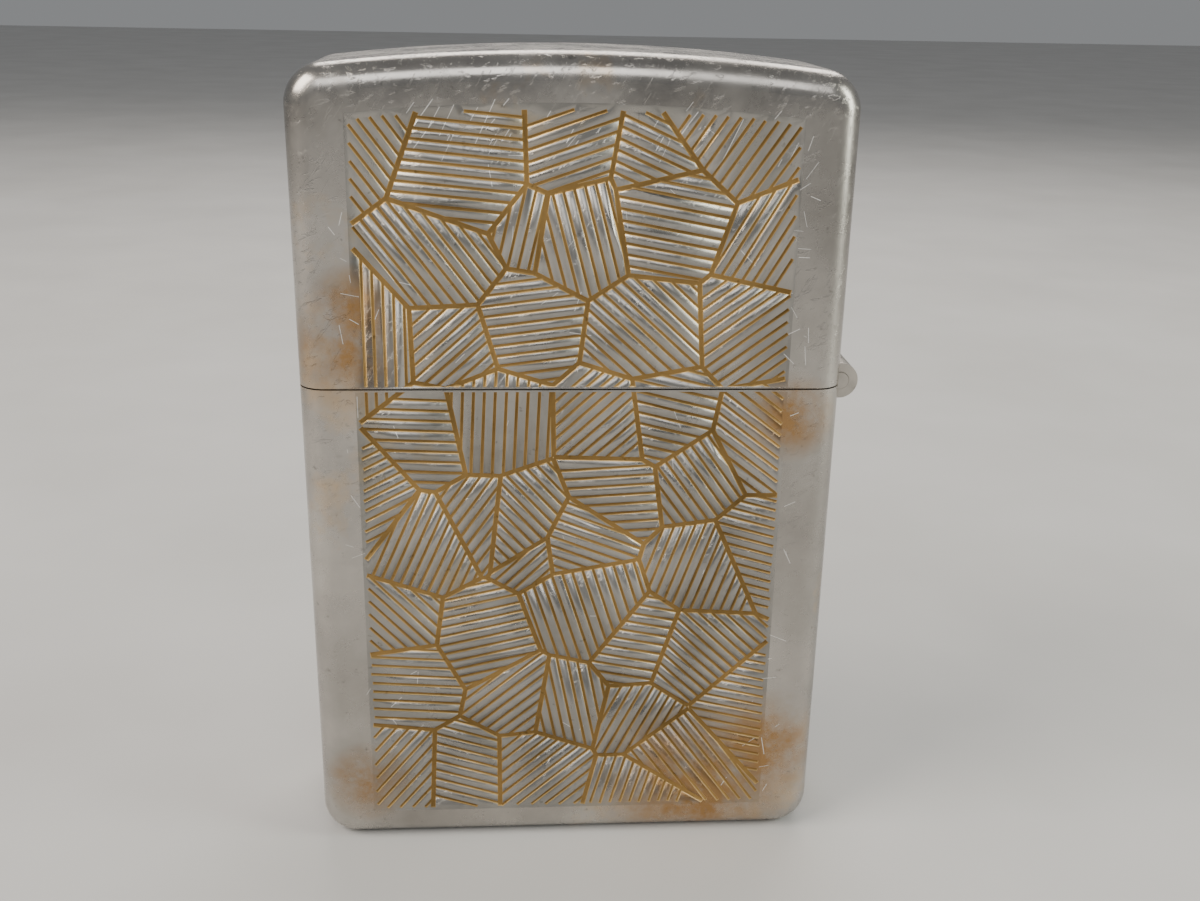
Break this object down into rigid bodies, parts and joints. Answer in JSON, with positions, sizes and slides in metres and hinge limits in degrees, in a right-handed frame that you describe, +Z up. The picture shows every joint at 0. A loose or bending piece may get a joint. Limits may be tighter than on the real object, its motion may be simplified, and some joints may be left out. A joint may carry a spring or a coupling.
{
  "type": "flip-top lighter",
  "caption": "Closed flip-top windproof lighter: worn satin chrome case engraved with hatched polygons, hinged lid, pull-out insert with chimney, flint wheel, cam and wick.",
  "frame": {"origin": "centre of the flat bottom, on the plane it stands on", "axes": "+Z up through the lid, -Y out of the engraved front face, +X towards the hinge"},
  "size_m": [0.0383, 0.0126, 0.0572],
  "materials": {
    "case_chrome": "satin, worn, engraved",
    "hinge_steel": "worn satin",
    "insert_steel": "brushed",
    "wheel_steel": "dark filed",
    "rivet_brass": "satin",
    "flint_grey": "dull sintered",
    "wick_cotton": "braided",
    "packing_cotton": "loose fibre",
    "felt": "pressed felt"
  },
  "bodies": {
    "case": {"case_bottom": "case_chrome", "hinge_leaf_lower": "hinge_steel", "hinge_pin": "hinge_steel"},
    "lid": {"case_lid": "case_chrome", "hinge_leaf_upper": "hinge_steel"},
    "insert": {"insert_case": "insert_steel", "chimney": "insert_steel", "wheel_rivet": "rivet_brass", "cam_rivet": "rivet_brass", "cam_spring": "insert_steel", "cam_spring_rivet": "rivet_brass", "flint_tube": "rivet_brass", "wick": "wick_cotton", "cotton_packing": "packing_cotton", "felt_pad": "felt"},
    "wheel": {"flint_wheel": "wheel_steel"},
    "cam": {"cam": "insert_steel"},
    "flint": {"flint": "flint_grey", "spring_pusher": "rivet_brass", "flint_spring": "insert_steel"},
    "flint_screw": {"flint_screw": "rivet_brass"}
  },
  "joints": [
    {"name": "lid_hinge", "type": "hinge", "parent": "case", "child": "lid", "pos_m": [0.01865, 0, 0.0354], "axis": [0, 1, 0], "range_deg": [0, 130]},
    {"name": "insert_slide", "type": "slide", "parent": "case", "child": "insert", "axis": [0, 0, 1], "range_m": [0, 0.0008]},
    {"name": "wheel_spin", "type": "hinge", "parent": "insert", "child": "wheel", "pos_m": [-0.0082, 0, 0.0444], "axis": [0, 1, 0], "continuous": true},
    {"name": "cam_pivot", "type": "hinge", "parent": "insert", "child": "cam", "pos_m": [0.0096, 0, 0.0413], "axis": [0, 1, 0], "range_deg": [0, 46]},
    {"name": "flint_feed", "type": "slide", "parent": "insert", "child": "flint", "axis": [0, 0, 1], "range_m": [-0.0008, 0], "stiffness_N_per_m": 50, "springref_m": 0.0008, "deforming": ["flint_spring"]},
    {"name": "flint_screw_turn", "type": "hinge", "parent": "insert", "child": "flint_screw", "pos_m": [-0.0082, 0, 0.003], "axis": [0, 0, 1], "continuous": true}
  ],
  "couplings": [
    {"joint": "cam_pivot", "follows": "lid_hinge", "ratio": 0.35}
  ]
}
